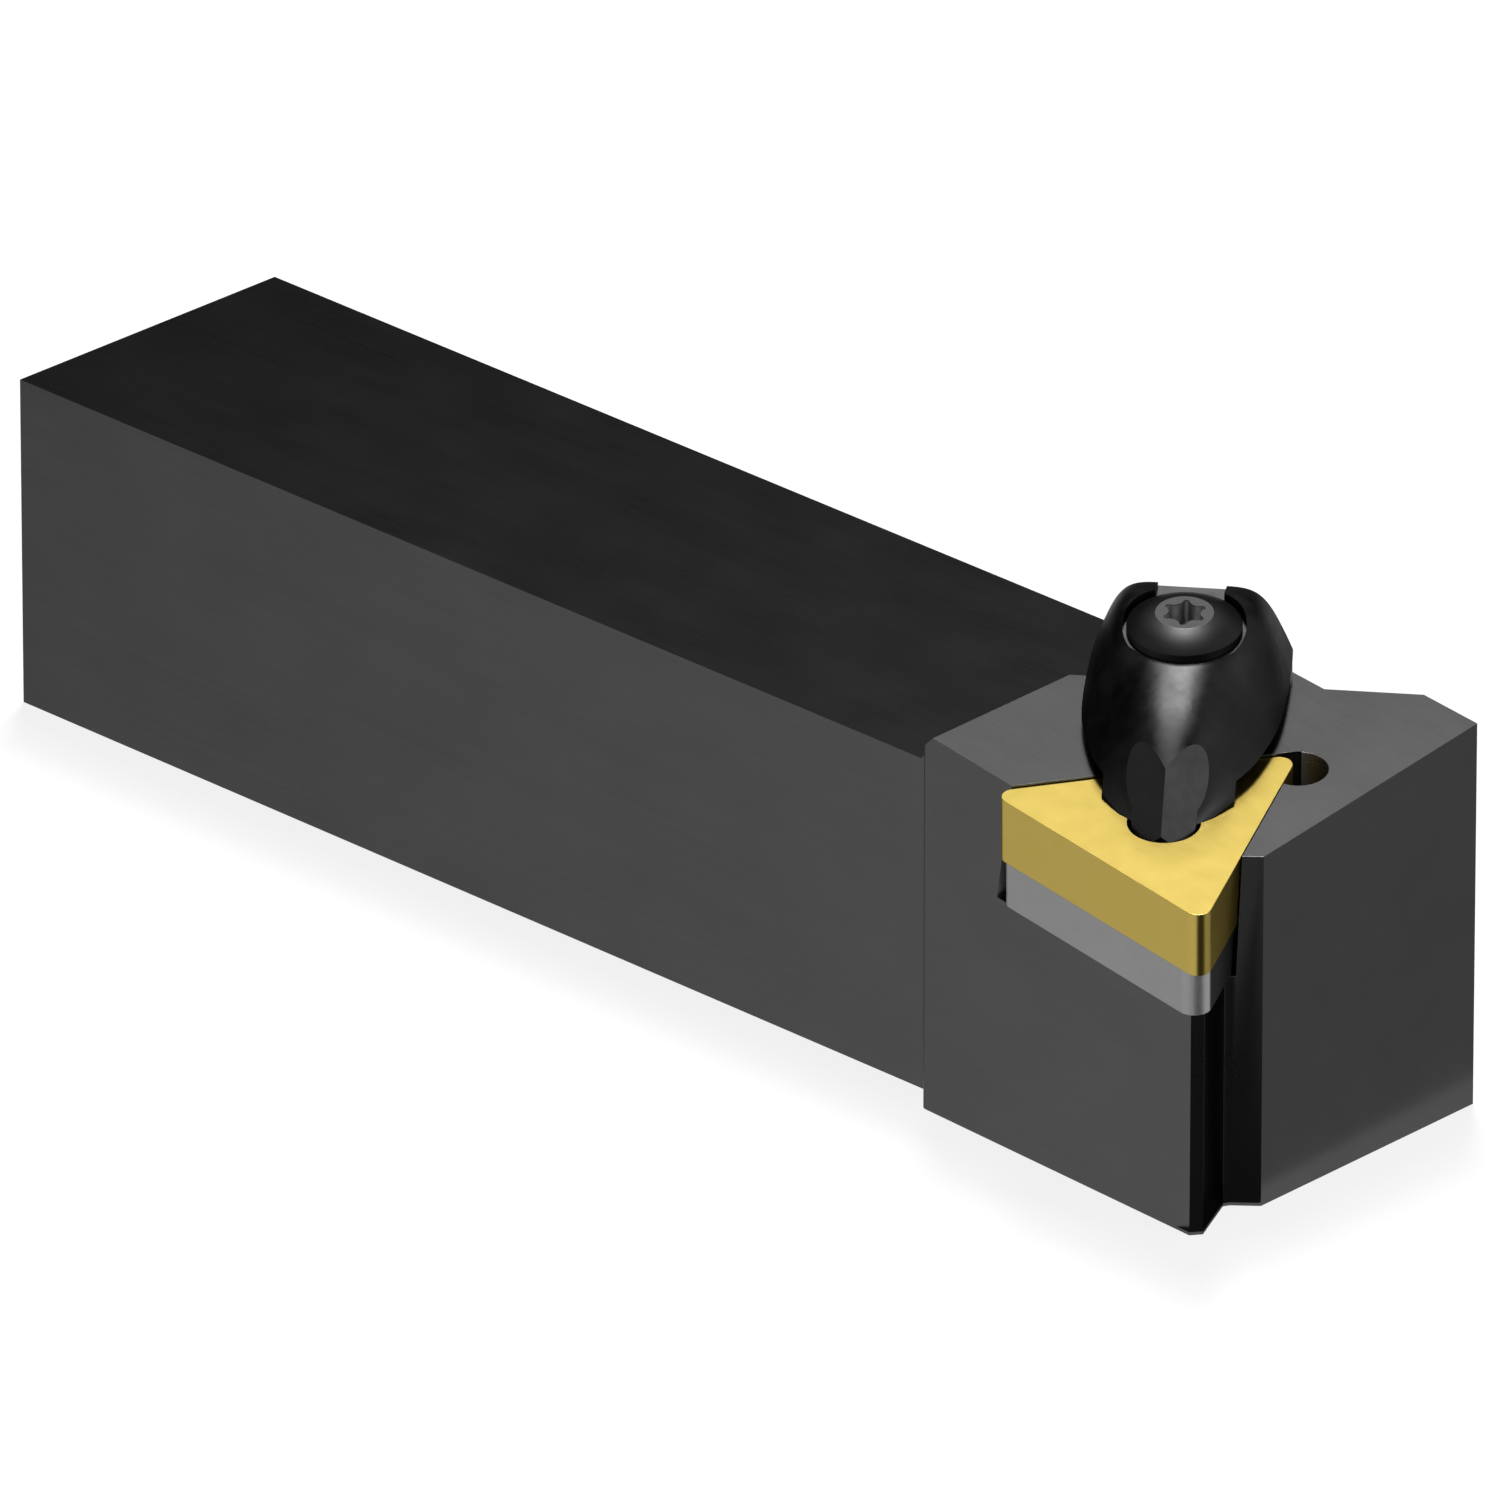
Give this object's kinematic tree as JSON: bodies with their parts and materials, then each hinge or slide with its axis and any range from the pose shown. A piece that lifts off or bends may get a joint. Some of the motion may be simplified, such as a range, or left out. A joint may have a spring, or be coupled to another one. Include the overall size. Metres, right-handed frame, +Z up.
{
  "type": "turning tool holder",
  "caption": "Square-shank turning tool holder with a triangular insert held by a forged lever clamp and a domed screw.",
  "frame": {"origin": "middle of the lower edge of the shank's rear end, in the shank's base plane", "axes": "+X along the shank towards the cutting head, +Z up from the shank's base to the insert's side, and the cutting corner lies on the -Y side"},
  "size_m": [0.1529, 0.0382, 0.0471],
  "materials": {
    "holder_steel": "hardened steel with a satin dark grey finish",
    "bare_carbide": "ground, uncoated cemented carbide",
    "blackened_screw": "black oxide on alloy steel",
    "coated_carbide": "cemented carbide with a satin gold-coloured nitride coating",
    "forged_steel": "forged and tumbled steel, satin dark grey",
    "screw_steel": "turned alloy steel, satin grey",
    "spring_wire": "drawn spring wire"
  },
  "bodies": {
    "holder": {"holder_body": "holder_steel", "shim": "bare_carbide", "shim_screw": "blackened_screw", "insert": "coated_carbide", "clamp_spring": "spring_wire"},
    "clamp": {"clamp": "forged_steel"},
    "screw": {"clamp_screw": "screw_steel"}
  },
  "joints": [
    {"name": "clamp_lift", "type": "slide", "parent": "holder", "child": "clamp", "axis": [0.0984, -0.1093, 0.9891], "range_m": [0, 0.0035], "deforming": ["clamp_spring"]},
    {"name": "clamp_screw_turn", "type": "hinge", "parent": "clamp", "child": "screw", "pos_m": [0.12981, -0.00033, 0.03656], "axis": [0.0984, -0.1093, 0.9891], "range_deg": [0, 1260]}
  ],
  "couplings": [
    {"joint": "clamp_screw_turn", "follows": "clamp_lift", "rad_per_m": 6283.2}
  ]
}
